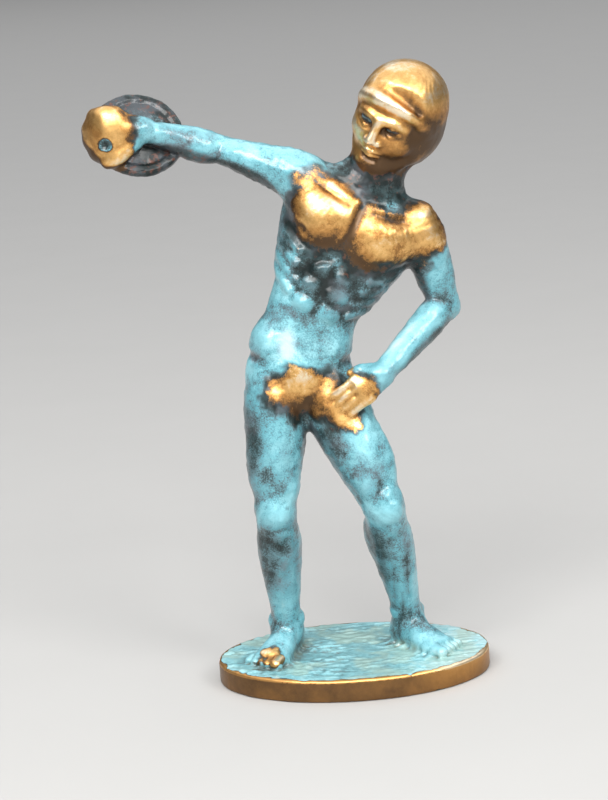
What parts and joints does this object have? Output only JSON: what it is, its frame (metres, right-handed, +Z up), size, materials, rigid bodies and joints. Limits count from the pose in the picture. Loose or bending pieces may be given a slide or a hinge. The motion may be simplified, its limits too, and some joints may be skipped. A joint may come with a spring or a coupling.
{
  "type": "bronze athlete figurine",
  "caption": "Small cast figurine of a standing athlete holding a disc out to one side, in one piece with a low oval base.",
  "frame": {"origin": "centre of the oval base's flat underside", "axes": "+Z up, the figure faces -Y, +X to the viewer's right along the base's long axis"},
  "size_m": [0.0724, 0.037, 0.1205],
  "materials": {
    "patinated_brass": "turquoise verdigris over dark brown, rubbed back to warm polished brass on the head, chest, hands and the base's edge"
  },
  "bodies": {
    "root": {"athlete_figurine": "patinated_brass"}
  },
  "joints": []
}
